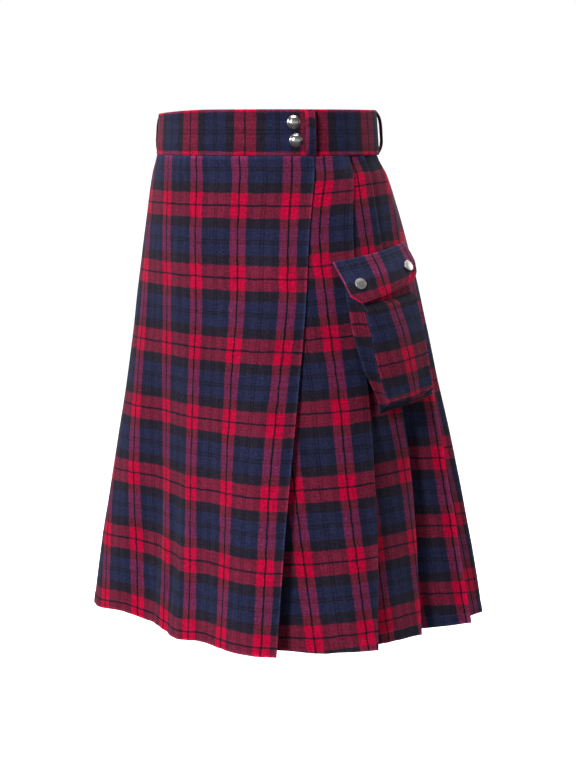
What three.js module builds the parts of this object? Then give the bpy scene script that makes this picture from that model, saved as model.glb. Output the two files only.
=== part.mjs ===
// A utility kilt as it hangs when worn: a snapped waistband with belt loops, a flat front apron,
// knife pleats round both sides and the back, and one cargo pocket on the wearer's left.
// Millimetres, +Z up, front towards -Y, the wearer's left towards +X.
// The origin is the centre of the waistband at half its height, where the wearer's waist holds it.
// Angles are degrees round the waist from the centre front, positive towards the wearer's left.
import * as THREE from 'three';

// ---- driving sizes ----
const clothWall = 1.5;
const bandWall = 3;
const bandTop = 26;
const bandBottom = -26;
const seamGap = 0.3;
const hemHeight = -584;
const layerStep = 2.2;
const fullerBack = 2.3;

// The ring of the cloth, a row per height: half width, depth in front and depth behind,
// then how far the apron's two side borders swing out and its middle dips in.
const sections = [
  { z: 26, side: 140, front: 118, back: 97, leftSwing: 0, rightSwing: 0, dip: 0 },
  { z: -26, side: 144, front: 120, back: 100, leftSwing: 0, rightSwing: 0, dip: 0 },
  { z: -50, side: 155, front: 121, back: 114, leftSwing: 0, rightSwing: 0, dip: 0 },
  { z: -120, side: 168, front: 122, back: 141, leftSwing: 0, rightSwing: 3, dip: 0 },
  { z: -200, side: 177, front: 124, back: 172, leftSwing: 3, rightSwing: 8, dip: 1 },
  { z: -300, side: 183, front: 125, back: 206, leftSwing: 10, rightSwing: 18, dip: 3 },
  { z: -400, side: 190, front: 130, back: 237, leftSwing: 20, rightSwing: 29, dip: 6 },
  { z: -500, side: 202, front: 140, back: 261, leftSwing: 30, rightSwing: 35, dip: 9 },
  { z: -584, side: 216, front: 151, back: 268, leftSwing: 34, rightSwing: 33.5, dip: 11 },
];

// Where the swings and the dip of the apron lie, and how far they reach to each side.
const apronSwells = [
  { column: 'leftSwing', angle: 42, reach: 32 },
  { column: 'rightSwing', angle: -60, reach: 27 },
  { column: 'dip', angle: -22, reach: 24, inward: true },
];

// Heights at which the tables of folds below give their values.
const stations = [-26, -110, -200, -300, -390, -470, -584];

// The apron's free left edge and its right edge, angles at the stations.
const apronLeftEdge = [66.5, 62.4, 60, 56.5, 53, 50.2, 47.4];
const apronRightEdge = [-66, -63.5, -62, -60.5, -60, -60, -60];
const overlapStep = 3.4;
const overlapFrom = -24;
const overlapTo = 8;
const apronColumns = 22;

// Knife pleats from the apron to the centre back, a row per fold edge, values at the stations:
// edge is the fold's angle, rise how far it stands out of the ring, and sink how deep the
// face behind it starts. Every fold edge looks towards the back.
const leftPleats = [
  {
    edge: [85.3, 80.8, 80.9, 84.3, 84.7, 83.6, 79.6],
    rise: [0, 0, 0, 0, 2, 4, 7],
    sink: [4.4, 5, 6, 8, 10, 12, 15],
  },
  {
    edge: [94.5, 94.6, 97.5, 101.2, 106.4, 106.9, 103.9],
    rise: [0, 0, 0, -1, -3, -5, -10],
    sink: [4.4, 6, 9, 17, 26, 36, 46],
  },
  {
    edge: [110, 110, 114.5, 121.3, 121.8, 122.6, 122.6],
    rise: [0, 0, 1, 6, 12, 14, 15],
    sink: [4.4, 5, 6, 6, 5, 4, 3],
  },
  {
    edge: [127.5, 127.5, 129.5, 132.5, 134, 134.5, 135],
    rise: [0, 0, 1, 4, 9, 11, 13],
    sink: [4.4, 5, 7, 11, 15, 18, 21],
  },
  {
    edge: [145, 145, 146, 148, 150, 151, 152],
    rise: [0, 0, 0, 1, 3, 5, 6],
    sink: [4.4, 5, 7, 9, 11, 12, 13],
  },
  {
    edge: [162.5, 162.5, 163, 165, 166, 167, 168],
    rise: [0, 0, 0, 2, 5, 7, 9],
    sink: [4.4, 5, 8, 12, 16, 19, 22],
  },
];
const rightPleats = [
  {
    edge: [83.5, 81.5, 81, 82, 84, 85, 86],
    rise: [0, 0, 0, 2, 5, 7, 8],
    sink: [4.4, 5, 7, 10, 13, 16, 18],
  },
  {
    edge: [95, 96, 97, 99.5, 101.5, 103, 104],
    rise: [0, 0, 0, 1, 2, 2, 2],
    sink: [4.4, 5, 7, 11, 15, 18, 21],
  },
  {
    edge: [111, 111, 113, 117, 121, 123, 125],
    rise: [0, 0, 1, 4, 8, 10, 12],
    sink: [4.4, 5, 6, 8, 10, 11, 12],
  },
  {
    edge: [127.5, 127.5, 129, 132, 135, 137, 138],
    rise: [0, 0, 0, 1, 2, 3, 4],
    sink: [4.4, 5, 7, 11, 16, 20, 24],
  },
  {
    edge: [145, 145, 146, 149, 152, 154, 155],
    rise: [0, 0, 1, 4, 7, 9, 11],
    sink: [4.4, 5, 6, 8, 10, 11, 12],
  },
  {
    edge: [162.5, 162.5, 163, 165, 166, 167, 168],
    rise: [0, 0, 0, 1, 3, 4, 5],
    sink: [4.4, 5, 8, 12, 15, 18, 20],
  },
];
const returnLength = 15;
const gapeAtHem = 1.9;
const pleatRingAngle = 110;
const leftUnderlap = { angle: 26, sink: 0 };
const rightUnderlap = { angle: 52, sink: layerStep };
const lastFaceMiddle = 0.45;
const lastFaceEnd = 0.2;
const rowHeights = [
  -26.3, -60, -110, -155, -200, -250, -300, -345, -390, -430, -470, -510, -550, -584,
];

// Waistband ends: the over-lap stops beside the front left loop, the under-lap lies behind it.
const overlapEnd = 66.5;
const underlapEnd = 24;
const bandStep = 5;

// Belt loops: angle of each, and one size for all.
const loops = [
  { name: 'belt_loop_front_left', angle: 63.9 },
  { name: 'belt_loop_front_right', angle: -66 },
  { name: 'belt_loop_side_left', angle: 126 },
  { name: 'belt_loop_side_right', angle: -126 },
  { name: 'belt_loop_centre_back', angle: 180 },
];
const loopWidth = 12;
const loopWall = 1.4;
const loopBow = 6.3;
const loopHalfHeight = 25;

// Metal snap caps: a domed pair on the waistband, a flatter pair on the pocket's flap.
const waistSnaps = [
  { name: 'waist_snap_upper', angle: 57.2, z: 11.5 },
  { name: 'waist_snap_lower', angle: 58.2, z: -8.5 },
];
const waistSnapRadius = 7.8;
const waistSnapHeight = 4.2;
const capSides = 20;
const flapSnaps = [
  { name: 'flap_snap_front', across: 0.12, down: 2.15 },
  { name: 'flap_snap_back', across: 0.83, down: 2.15 },
];
const flapSnapRadius = 7.5;
const flapSnapHeight = 2.6;

// The cargo pocket's bag, a row per height down it. The gusset meets the skirt at skirtFrom and
// skirtTo and the face at faceFrom and faceTo, as angles; zFrom and zTo are the heights of the
// front and back ends, as the pocket leans back. Low and high are how far out of the ring the
// gusset's foot and the face stand. The face has a tuck across it at its third row.
const pocketRows = [
  {
    skirtFrom: 75.3, zFrom: -166, skirtTo: 109, zTo: -151,
    faceFrom: 78, faceTo: 103, low: 1.7, lowBack: 1.7, high: 13,
  },
  {
    skirtFrom: 76.2, zFrom: -193, skirtTo: 110, zTo: -179,
    faceFrom: 79, faceTo: 102.5, low: 1.7, lowBack: 2.4, high: 16.5,
  },
  {
    skirtFrom: 76.6, zFrom: -197, skirtTo: 110.3, zTo: -183,
    faceFrom: 78.6, faceTo: 103, low: 1.7, lowBack: 2.6, high: 22,
  },
  {
    skirtFrom: 78, zFrom: -228, skirtTo: 112, zTo: -214,
    faceFrom: 80, faceTo: 104, low: 2, lowBack: 4.6, high: 26,
  },
  {
    skirtFrom: 81.4, zFrom: -265, skirtTo: 114.5, zTo: -252,
    faceFrom: 81.6, faceTo: 105, low: 3, lowBack: 7, high: 29,
  },
  {
    skirtFrom: 87, zFrom: -303, skirtTo: 117.5, zTo: -291,
    faceFrom: 84.6, faceTo: 106.5, low: 5, lowBack: 10, high: 30,
  },
];
const pocketFootDrop = 15;
const gussetLip = 2;
const pocketColumns = 6;

// The pocket's flap, a row per height: its front and back edges and how far out it lies.
const flapWall = 2.2;
const flapRows = [
  { from: 71, zFrom: -145, to: 112, zTo: -126, out: 2.2 },
  { from: 71.6, zFrom: -154, to: 110.5, zTo: -134, out: 8 },
  { from: 72.4, zFrom: -168, to: 107, zTo: -147, out: 19 },
  { from: 73.6, zFrom: -182, to: 104.5, zTo: -159, out: 24 },
  { from: 77, zFrom: -189.5, to: 101, zTo: -169, out: 26 },
];
const flapColumns = 8;

const radians = THREE.MathUtils.degToRad;

// Value at z of a column given at falling heights, smoothly from row to row.
function atHeight(z, heights, values) {
  const last = heights.length - 1;
  if (z >= heights[0]) return values[0];
  if (z <= heights[last]) return values[last];
  let i = 0;
  while (z < heights[i + 1]) i += 1;
  const slope = (k) => {
    const a = Math.max(k - 1, 0);
    const b = Math.min(k + 1, last);
    return (values[b] - values[a]) / (heights[b] - heights[a]);
  };
  const step = heights[i + 1] - heights[i];
  const t = (z - heights[i]) / step;
  const t2 = t * t;
  const t3 = t2 * t;
  return (2 * t3 - 3 * t2 + 1) * values[i] + (t3 - 2 * t2 + t) * step * slope(i)
    + (3 * t2 - 2 * t3) * values[i + 1] + (t3 - t2) * step * slope(i + 1);
}

const sectionHeights = sections.map((row) => row.z);
const sectionColumns = Object.fromEntries(
  Object.keys(sections[0]).map((key) => [key, sections.map((row) => row[key])]),
);

function section(name, z) {
  return atHeight(z, sectionHeights, sectionColumns[name]);
}

// Radius of the plain ring: an ellipse in front, a fuller curve behind.
function ringRadius(angle, z) {
  const s = Math.abs(Math.sin(radians(angle)));
  const c = Math.cos(radians(angle));
  const power = c > 0 ? 2 : fullerBack;
  const depth = section(c > 0 ? 'front' : 'back', z);
  const sum = (s / section('side', z)) ** power + (Math.abs(c) / depth) ** power;
  return sum ** (-1 / power);
}

// A soft hill of height 1 at its centre and 0 past its reach.
function hill(distance, reach) {
  return Math.abs(distance) < reach ? 0.5 + 0.5 * Math.cos((Math.PI * distance) / reach) : 0;
}

// How far the over-lapping front lies outside the ring.
function overlapOut(angle) {
  return overlapStep * THREE.MathUtils.smoothstep(angle, overlapFrom, overlapTo);
}

// Radius of the waistband's middle, straight from its top to its bottom edge. Its over-lap lies
// on its under-lap in front.
function bandRadius(angle, z) {
  const down = (bandTop - z) / (bandTop - bandBottom);
  const atTop = ringRadius(angle, bandTop);
  const radius = THREE.MathUtils.lerp(atTop, ringRadius(angle, bandBottom), down);
  const onTop = angle > overlapFrom && angle <= overlapEnd;
  return radius + (onTop ? overlapOut(angle) : 0);
}

function apronRadius(angle, z) {
  let radius = ringRadius(angle, z) + overlapOut(angle);
  for (const swell of apronSwells) {
    const sign = swell.inward ? -1 : 1;
    radius += sign * section(swell.column, z) * hill(angle - swell.angle, swell.reach);
  }
  return radius;
}

function polar(angle, radius, z) {
  return new THREE.Vector3(radius * Math.sin(radians(angle)), -radius * Math.cos(radians(angle)), z);
}

function onBand(angle, z) {
  return polar(angle, bandRadius(angle, z), z);
}

// The outward direction of a surface given as a function of two numbers.
function outwardAt(surface, u, v) {
  const small = 0.05;
  const across = surface(u + small, v).sub(surface(u - small, v));
  const downwards = surface(u, v - small).sub(surface(u, v + small));
  const out = downwards.cross(across).normalize();
  const here = surface(u, v);
  return out.x * here.x + out.y * here.y < 0 ? out.negate() : out;
}

// Closed wall from rows of middle points: an outer and an inner skin and a rim all round.
// The skins lie to each side along the surface's own direction, which levelEnds makes horizontal
// at the first and last rows, so that those two rims are level.
function wallFromRows(rows, wall, levelEnds = false) {
  const rowCount = rows.length;
  const columnCount = rows[0].length;
  const positions = [];
  const pointAt = (r, c) => {
    const row = rows[THREE.MathUtils.clamp(r, 0, rowCount - 1)];
    return row[THREE.MathUtils.clamp(c, 0, columnCount - 1)];
  };
  for (const side of [0.5, -0.5]) {
    for (let r = 0; r < rowCount; r += 1) {
      for (let c = 0; c < columnCount; c += 1) {
        const along = pointAt(r, c + 1).clone().sub(pointAt(r, c - 1));
        const down = pointAt(r + 1, c).clone().sub(pointAt(r - 1, c));
        const out = down.cross(along);
        if (levelEnds && (r === 0 || r === rowCount - 1)) out.z = 0;
        out.normalize();
        const point = pointAt(r, c).clone().addScaledVector(out, side * wall);
        positions.push(point.x, point.y, point.z);
      }
    }
  }
  const skin = rowCount * columnCount;
  const index = [];
  const quad = (a, b, c, d) => index.push(a, b, c, a, c, d);
  for (let r = 0; r < rowCount - 1; r += 1) {
    for (let c = 0; c < columnCount - 1; c += 1) {
      const i = r * columnCount + c;
      quad(i, i + columnCount, i + columnCount + 1, i + 1);
      quad(skin + i, skin + i + 1, skin + i + columnCount + 1, skin + i + columnCount);
    }
  }
  const border = [];
  for (let c = 0; c < columnCount - 1; c += 1) border.push(c);
  for (let r = 0; r < rowCount - 1; r += 1) border.push(r * columnCount + columnCount - 1);
  for (let c = columnCount - 1; c > 0; c -= 1) border.push((rowCount - 1) * columnCount + c);
  for (let r = rowCount - 1; r > 0; r -= 1) border.push(r * columnCount);
  border.forEach((a, k) => {
    const b = border[(k + 1) % border.length];
    quad(a, b, skin + b, skin + a);
  });
  const geometry = new THREE.BufferGeometry();
  geometry.setAttribute('position', new THREE.Float32BufferAttribute(positions, 3));
  geometry.setIndex(index);
  geometry.computeVertexNormals();
  return geometry;
}

// ---- waistband: from the over-lap's end round the waist to the under-lap's end ----
function waistband() {
  const angles = [];
  for (let angle = overlapEnd; angle > underlapEnd - 360; angle -= bandStep) angles.push(angle);
  angles.push(underlapEnd - 360);
  angles.reverse();
  const heights = [bandTop, bandBottom];
  const rows = heights.map((z) => angles.map((angle) => onBand(angle, z)));
  return wallFromRows(rows, bandWall, true);
}

// ---- front apron: one flat panel between its two side edges ----
function apron() {
  const rows = rowHeights.map((z) => {
    const left = atHeight(z, stations, apronLeftEdge);
    const right = atHeight(z, stations, apronRightEdge);
    const points = [];
    for (let c = 0; c <= apronColumns; c += 1) {
      const angle = THREE.MathUtils.lerp(right, left, c / apronColumns);
      points.push(polar(angle, apronRadius(angle, z), z));
    }
    return points;
  });
  return wallFromRows(rows, clothWall, true);
}

// Middle points of one pleated side at one height, from its front edge to the centre back,
// as pairs of an angle and how far it lies inside the ring.
function pleatSection(pleats, underlap, z) {
  const points = [];
  const degreesPerMillimetre = 180 / (Math.PI * ringRadius(pleatRingAngle, z));
  const returnAngle = returnLength * degreesPerMillimetre;
  const foldAngle = 0.5 * layerStep * degreesPerMillimetre;
  const gape = THREE.MathUtils.mapLinear(z, bandBottom, hemHeight, 1, gapeAtHem);
  const step = layerStep * gape;
  let start = underlap.angle;
  let sink = underlap.sink * gape;
  points.push([start, sink]);
  for (const pleat of pleats) {
    const edge = atHeight(z, stations, pleat.edge);
    const rise = atHeight(z, stations, pleat.rise);
    const nextSink = Math.max(atHeight(z, stations, pleat.sink), 2 * step - rise);
    const faceAt = (angle) => {
      const t = (angle - start) / (edge - start);
      return sink + (-rise - sink) * t * t * (1.6 - 0.6 * t);
    };
    const hidden = edge - returnAngle;
    for (const part of [0.3, 0.6, 1]) {
      const angle = start + part * (hidden - start);
      points.push([angle, faceAt(angle)]);
    }
    points.push([edge - foldAngle, -rise]);
    points.push([edge, -rise + 0.5 * step]);
    points.push([edge - foldAngle, -rise + step]);
    points.push([hidden + foldAngle, faceAt(hidden) + step]);
    points.push([hidden, faceAt(hidden) + 1.5 * step]);
    points.push([hidden + foldAngle, faceAt(hidden) + 2 * step]);
    points.push([edge, nextSink]);
    start = edge;
    sink = nextSink;
  }
  const end = 180 - 0.5 * seamGap * degreesPerMillimetre;
  points.push([(start + end) / 2, sink * lastFaceMiddle]);
  points.push([end, sink * lastFaceEnd]);
  return points;
}

function pleatedSide(pleats, underlap, side) {
  const rows = rowHeights.map((z) => {
    const points = pleatSection(pleats, underlap, z);
    return points.map(([angle, inset]) => polar(side * angle, ringRadius(angle, z) - inset, z));
  });
  if (side < 0) rows.forEach((row) => row.reverse());
  return wallFromRows(rows, clothWall, true);
}

// ---- belt loops: a strap bowed off the band, sewn flat at both ends ----
function beltLoop(loop) {
  const steps = 8;
  const halfAngle = (loopWidth / 2) * (180 / (Math.PI * ringRadius(loop.angle, 0)));
  const seat = bandWall / 2 + seamGap + loopWall / 2;
  const out = outwardAt(onBand, loop.angle, 0);
  const heights = [];
  for (let k = 0; k <= steps; k += 1) heights.push(loopHalfHeight * Math.cos((Math.PI * k) / steps));
  const rows = heights.map((z) => [-1, 0, 1].map((across) => {
    const bow = loopBow * (1 - (z / loopHalfHeight) ** 4);
    return onBand(loop.angle + across * halfAngle, z).addScaledVector(out, seat + bow);
  }));
  return wallFromRows(rows, loopWall);
}

// ---- pocket: a face, a gusset round its two sides and foot, and a flap ----
const lastPocketRow = pocketRows.length - 1;

// Where the gusset's foot edge turns under the pocket, below the last row.
function footRow() {
  const last = pocketRows[lastPocketRow];
  return { ...last, zFrom: last.zFrom - pocketFootDrop, zTo: last.zTo - pocketFootDrop };
}

function pocketSpan(row, angle) {
  return (angle - row.skirtFrom) / (row.skirtTo - row.skirtFrom);
}

function onPocketFace(row, across, moved) {
  const angle = THREE.MathUtils.lerp(row.faceFrom, row.faceTo, across);
  const z = THREE.MathUtils.lerp(row.zFrom, row.zTo, pocketSpan(row, angle));
  return polar(angle, ringRadius(angle, z) + row.high + moved, z);
}

function onPocketFoot(row, across) {
  const angle = THREE.MathUtils.lerp(row.skirtFrom, row.skirtTo, across);
  const z = THREE.MathUtils.lerp(row.zFrom, row.zTo, across);
  const out = THREE.MathUtils.lerp(row.low, row.lowBack, across);
  return polar(angle, ringRadius(angle, z) + out, z);
}

function evenSteps(count) {
  return Array.from({ length: count + 1 }, (_, k) => k / count);
}

function pocketFace() {
  const columns = evenSteps(pocketColumns);
  const rows = pocketRows.map((row) => columns.map((across) => onPocketFace(row, across, 0)));
  return wallFromRows(rows, clothWall);
}

function pocketGusset() {
  const under = -(clothWall / 2 + seamGap);
  const last = pocketRows[lastPocketRow];
  const foot = footRow();
  const lip = { ...last, zFrom: last.zFrom - gussetLip, zTo: last.zTo - gussetLip };
  const faceEdge = [];
  const skirtEdge = [];
  for (const row of pocketRows) {
    faceEdge.push(onPocketFace(row, 0, under));
    skirtEdge.push(onPocketFoot(row, 0));
  }
  for (const across of evenSteps(pocketColumns)) {
    faceEdge.push(onPocketFace(lip, across, under));
    skirtEdge.push(onPocketFoot(foot, across));
  }
  for (const row of [...pocketRows].reverse()) {
    faceEdge.push(onPocketFace(row, 1, under));
    skirtEdge.push(onPocketFoot(row, 1));
  }
  const middle = faceEdge.map((point, k) => point.clone().lerp(skirtEdge[k], 0.5));
  return wallFromRows([faceEdge, middle, skirtEdge], clothWall);
}

// Middle point of the flap, across 0 to 1 and down in rows.
function onFlap(across, down) {
  const i = Math.min(Math.floor(down), flapRows.length - 2);
  const t = down - i;
  const mix = (key) => THREE.MathUtils.lerp(flapRows[i][key], flapRows[i + 1][key], t);
  const angle = THREE.MathUtils.lerp(mix('from'), mix('to'), across);
  const z = THREE.MathUtils.lerp(mix('zFrom'), mix('zTo'), across);
  return polar(angle, ringRadius(angle, z) + mix('out'), z);
}

function pocketFlap() {
  const columns = evenSteps(flapColumns);
  const rows = flapRows.map((row, down) => columns.map((across) => onFlap(across, down)));
  return wallFromRows(rows, flapWall);
}

// ---- snap caps: a low dome turned round its own axis, along the mesh's Y ----
function snapCap(radius, height) {
  const steps = 5;
  const rim = 0.3;
  const profile = [new THREE.Vector2(0, 0), new THREE.Vector2(radius * 0.94, 0)];
  for (let k = 0; k < steps; k += 1) {
    const turn = (Math.PI / 2) * (k / steps);
    const rise = rim + (1 - rim) * Math.sin(turn);
    profile.push(new THREE.Vector2(radius * Math.cos(turn), height * rise));
  }
  profile.push(new THREE.Vector2(0, height));
  return new THREE.LatheGeometry(profile, capSides);
}

// Stands a cap on a surface of the given wall, clear of its outside.
function seatCap(mesh, surface, u, v, wall) {
  const out = outwardAt(surface, u, v);
  mesh.position.copy(surface(u, v)).addScaledVector(out, wall / 2 + seamGap);
  mesh.quaternion.setFromUnitVectors(new THREE.Vector3(0, 1, 0), out);
}

// ---- materials ----
function cloth(color) {
  return new THREE.MeshStandardMaterial({ color, roughness: 0.95, metalness: 0 });
}
const checkedRed = cloth(0x8c1d38);
const checkedNavy = cloth(0x262c4c);
const polishedNickel = new THREE.MeshStandardMaterial({ color: 0xc9c6c2, roughness: 0.2, metalness: 1 });
const brushedNickel = new THREE.MeshStandardMaterial({ color: 0xbdb9b3, roughness: 0.45, metalness: 1 });

// ---- the kilt ----
const kilt = new THREE.Group();

function add(name, geometry, material) {
  const mesh = new THREE.Mesh(geometry, material);
  mesh.name = name;
  kilt.add(mesh);
  return mesh;
}

add('waistband', waistband(), checkedNavy);
add('front_apron', apron(), checkedRed);
add('pleats_left', pleatedSide(leftPleats, leftUnderlap, 1), checkedRed);
add('pleats_right', pleatedSide(rightPleats, rightUnderlap, -1), checkedRed);
for (const loop of loops) add(loop.name, beltLoop(loop), checkedRed);
add('pocket_gusset', pocketGusset(), checkedNavy);
add('pocket_face', pocketFace(), checkedNavy);
add('pocket_flap', pocketFlap(), checkedNavy);
for (const snap of waistSnaps) {
  const cap = add(snap.name, snapCap(waistSnapRadius, waistSnapHeight), polishedNickel);
  seatCap(cap, onBand, snap.angle, snap.z, bandWall);
}
for (const snap of flapSnaps) {
  const cap = add(snap.name, snapCap(flapSnapRadius, flapSnapHeight), brushedNickel);
  seatCap(cap, onFlap, snap.across, snap.down, flapWall);
}

export default kilt;
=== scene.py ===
"""A utility kilt in brushed tartan flannel, as it hangs when worn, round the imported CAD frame.

The shapes are in millimetres until a mesh is made. Angles are degrees round the waist from the
centre front, positive towards the wearer's left. +Z is up and the front looks towards -Y.
Each cloth piece carries a map named Cloth that gives every point its place in the woven cloth.
"""

from collections import namedtuple
from functools import lru_cache
from math import atan, cos, exp, pi, radians, sin

import bpy
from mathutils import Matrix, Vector, noise


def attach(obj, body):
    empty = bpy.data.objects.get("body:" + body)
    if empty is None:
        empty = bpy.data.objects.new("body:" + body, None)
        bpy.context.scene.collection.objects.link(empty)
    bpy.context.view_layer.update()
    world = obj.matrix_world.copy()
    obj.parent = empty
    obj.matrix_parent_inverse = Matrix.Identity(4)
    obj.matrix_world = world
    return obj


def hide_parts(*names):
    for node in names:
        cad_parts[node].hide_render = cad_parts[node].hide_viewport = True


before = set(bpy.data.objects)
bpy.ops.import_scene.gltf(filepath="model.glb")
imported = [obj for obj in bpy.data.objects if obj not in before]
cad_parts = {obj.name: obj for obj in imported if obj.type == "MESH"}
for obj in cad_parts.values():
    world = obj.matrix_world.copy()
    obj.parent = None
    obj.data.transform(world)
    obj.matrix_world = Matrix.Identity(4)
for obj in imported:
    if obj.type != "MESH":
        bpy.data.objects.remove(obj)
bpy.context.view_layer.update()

# ---------------- sizes shared by all pieces
MILLIMETRE = 0.001
CLOTH_WALL = 1.2
BAND_WALL = 3.0
BAND_TOP = 26.0
BAND_BOTTOM = -26.0
BAND_HEIGHT = BAND_TOP - BAND_BOTTOM
SEAM_GAP = 0.3
PANEL_TOP = BAND_BOTTOM - SEAM_GAP
HEM = -584.0

# The power of the curve that rounds the ring behind; 2 would be an ellipse.
FULLER_BACK = 2.3

# The ring of the cloth by height: half width, depth in front and behind, how far the apron's two
# side borders swing out and how far its middle dips in.
Section = namedtuple("Section", "z side front back left_swing right_swing dip")
SECTIONS = [
    Section(26, 140, 118, 97, 0, 0, 0),
    Section(-26, 144, 120, 100, 0, 0, 0),
    Section(-50, 155, 121, 114, 0, 0, 0),
    Section(-120, 168, 122, 141, 0, 3, 0),
    Section(-200, 177, 124, 172, 3, 8, 1),
    Section(-300, 183, 125, 206, 10, 18, 3),
    Section(-400, 190, 130, 237, 20, 29, 6),
    Section(-500, 202, 140, 261, 30, 35, 9),
    Section(-584, 216, 151, 268, 34, 33.5, 11),
]
SECTION_HEIGHTS = [row.z for row in SECTIONS]

# Where the swings and the dip of the apron lie, and how far they reach to each side.
Swell = namedtuple("Swell", "column angle reach sign")
APRON_SWELLS = [
    Swell("left_swing", 42, 32, 1),
    Swell("right_swing", -60, 27, 1),
    Swell("dip", -22, 24, -1),
]

# Heights at which the tables of folds give their values, and the apron's two side edges there.
STATIONS = [-26, -110, -200, -300, -390, -470, -584]
APRON_LEFT_EDGE = [66.5, 62.4, 60, 56.5, 53, 50.2, 47.4]
APRON_RIGHT_EDGE = [-66, -63.5, -62, -60.5, -60, -60, -60]

# The over-lap rises out of the ring between two angles and ends on the wearer's left, and the
# under-lap ends beneath it.
OVERLAP_STEP = 3.4
OVERLAP_FROM = -24
OVERLAP_TO = 8
OVERLAP_END = 66.5
UNDERLAP_END = 24.0
BAND_START = UNDERLAP_END - 360

# Knife pleats from the apron to the centre back: the fold's angle, how far it stands out of the
# ring, how deep the face behind it starts, how far in front of the fold a pair of red warp
# stripes runs down the face, how high above the hem a red weft band crosses the fold, and how
# much lower that band starts at the face's deep side, at the top and at the hem.
Pleat = namedtuple("Pleat", "edge rise sink pair climb lean", defaults=[(0, 0)])
LEFT_PLEATS = [
    Pleat(
        edge=[85.3, 80.8, 80.9, 84.3, 84.7, 83.6, 79.6],
        rise=[0, 0, 0, 0, 2, 4, 7], sink=[4.4, 5, 6, 8, 10, 12, 15],
        pair=[33, 39, 36, 36.5, 34.5, 28, 11], climb=[26, 27.5, 28.5, 27, 23, 21.5, 21],
        lean=(12, 12),
    ),
    Pleat(
        edge=[94.5, 94.6, 97.5, 101.2, 106.4, 106.9, 103.9],
        rise=[0, 0, 0, -1, -3, -5, -10], sink=[4.4, 6, 9, 17, 26, 36, 46],
        pair=[18, 19.5, 19, 14, 11, 6, -5], climb=[34, 33, 32, 31, 30, 27, 27],
        lean=(3, 3),
    ),
    Pleat(
        edge=[110, 110, 114.5, 121.3, 121.8, 122.6, 122.6],
        rise=[0, 0, 1, 6, 12, 14, 15], sink=[4.4, 5, 6, 6, 5, 4, 3],
        pair=[-8, 2, 7, 8, 7, 7, 7], climb=[36, 36, 36, 36, 36, 36, 37],
        lean=(4, -10),
    ),
    Pleat(
        edge=[127.5, 127.5, 129.5, 132.5, 134, 134.5, 135],
        rise=[0, 0, 1, 4, 9, 11, 13], sink=[4.4, 5, 7, 11, 15, 18, 21],
        pair=[20, 20, 21, 22, 22, 20, 18], climb=[42] * 7,
        lean=(-4, -4),
    ),
    Pleat(
        edge=[145, 145, 146, 148, 150, 151, 152],
        rise=[0, 0, 0, 1, 3, 5, 6], sink=[4.4, 5, 7, 9, 11, 12, 13],
        pair=[30, 30, 31, 33, 34, 33, 30], climb=[45] * 7,
    ),
    Pleat(
        edge=[162.5, 162.5, 163, 165, 166, 167, 168],
        rise=[0, 0, 0, 2, 5, 7, 9], sink=[4.4, 5, 8, 12, 16, 19, 22],
        pair=[15, 15, 16, 18, 18, 16, 13], climb=[45] * 7,
    ),
]
RIGHT_PLEATS = [
    Pleat(
        edge=[83.5, 81.5, 81, 82, 84, 85, 86],
        rise=[0, 0, 0, 2, 5, 7, 8], sink=[4.4, 5, 7, 10, 13, 16, 18],
        pair=[30, 30, 31, 32, 31, 28, 24], climb=[22, 23, 24, 23, 20, 18, 17],
        lean=(8, 8),
    ),
    Pleat(
        edge=[95, 96, 97, 99.5, 101.5, 103, 104],
        rise=[0, 0, 0, 1, 2, 2, 2], sink=[4.4, 5, 7, 11, 15, 18, 21],
        pair=[17, 17, 18, 19, 19, 17, 14], climb=[30, 30, 29, 28, 27, 27, 27],
        lean=(4, 4),
    ),
    Pleat(
        edge=[111, 111, 113, 117, 121, 123, 125],
        rise=[0, 0, 1, 4, 8, 10, 12], sink=[4.4, 5, 6, 8, 10, 11, 12],
        pair=[11, 11, 12, 13, 13, 12, 10], climb=[36] * 7,
    ),
    Pleat(
        edge=[127.5, 127.5, 129, 132, 135, 137, 138],
        rise=[0, 0, 0, 1, 2, 3, 4], sink=[4.4, 5, 7, 11, 16, 20, 24],
        pair=[26, 26, 27, 28, 28, 27, 25], climb=[41] * 7,
        lean=(-4, -4),
    ),
    Pleat(
        edge=[145, 145, 146, 149, 152, 154, 155],
        rise=[0, 0, 1, 4, 7, 9, 11], sink=[4.4, 5, 6, 8, 10, 11, 12],
        pair=[19, 19, 20, 22, 22, 21, 18], climb=[44] * 7,
    ),
    Pleat(
        edge=[162.5, 162.5, 163, 165, 166, 167, 168],
        rise=[0, 0, 0, 1, 3, 4, 5], sink=[4.4, 5, 8, 12, 15, 18, 20],
        pair=[33, 33, 34, 36, 37, 36, 34], climb=[45] * 7,
    ),
]

# Folded layers lie a step apart, which grows towards the hem. A return is the hidden cloth behind
# a fold, and its reach in degrees is worked out at one angle of the ring.
LAYER_STEP = 2.2
GAPE_AT_HEM = 1.9
RETURN_LENGTH = 15.0
PLEAT_RING_ANGLE = 110.0

# The tartan's repeats along the cloth and down it.
WARP_REPEAT = 60.5
WEFT_REPEAT = 82.0


# ---------------- the forms of the worn cloth
def at_height(z, heights, values):
    """Value at z of a column given at falling heights, smoothly from row to row."""
    last = len(heights) - 1
    if z >= heights[0]:
        return values[0]
    if z <= heights[last]:
        return values[last]
    i = 0
    while z < heights[i + 1]:
        i += 1

    def slope(k):
        a, b = max(k - 1, 0), min(k + 1, last)
        return (values[b] - values[a]) / (heights[b] - heights[a])

    step = heights[i + 1] - heights[i]
    t = (z - heights[i]) / step
    first = (2 * t**3 - 3 * t**2 + 1) * values[i] + (t**3 - 2 * t**2 + t) * step * slope(i)
    second = (3 * t**2 - 2 * t**3) * values[i + 1] + (t**3 - t**2) * step * slope(i + 1)
    return first + second


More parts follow.
